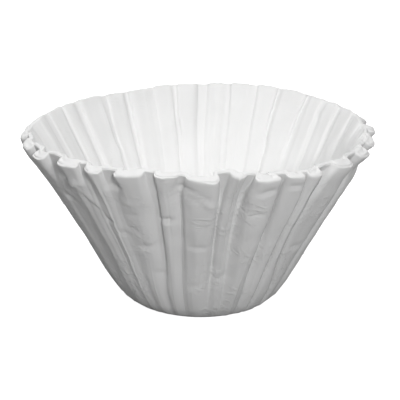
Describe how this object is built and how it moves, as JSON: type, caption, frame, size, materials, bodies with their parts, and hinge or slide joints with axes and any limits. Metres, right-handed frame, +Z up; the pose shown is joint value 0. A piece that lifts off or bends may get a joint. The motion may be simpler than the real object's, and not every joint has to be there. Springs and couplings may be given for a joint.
{
  "type": "paper coffee filter",
  "caption": "Fluted basket of pleated white filter paper that lines a drip coffee maker and holds ground coffee; nested filters pressed together into one thick cup.",
  "frame": {"origin": "centre of the flat bottom's underside, on the plane the cup stands on", "axes": "+Z up out of the cup's mouth, +X to the right, -Y the front"},
  "size_m": [0.206, 0.1997, 0.1085],
  "materials": {
    "filter_paper": "matt bleached filter paper"
  },
  "bodies": {
    "root": {"coffee_filter": "filter_paper"}
  },
  "joints": []
}
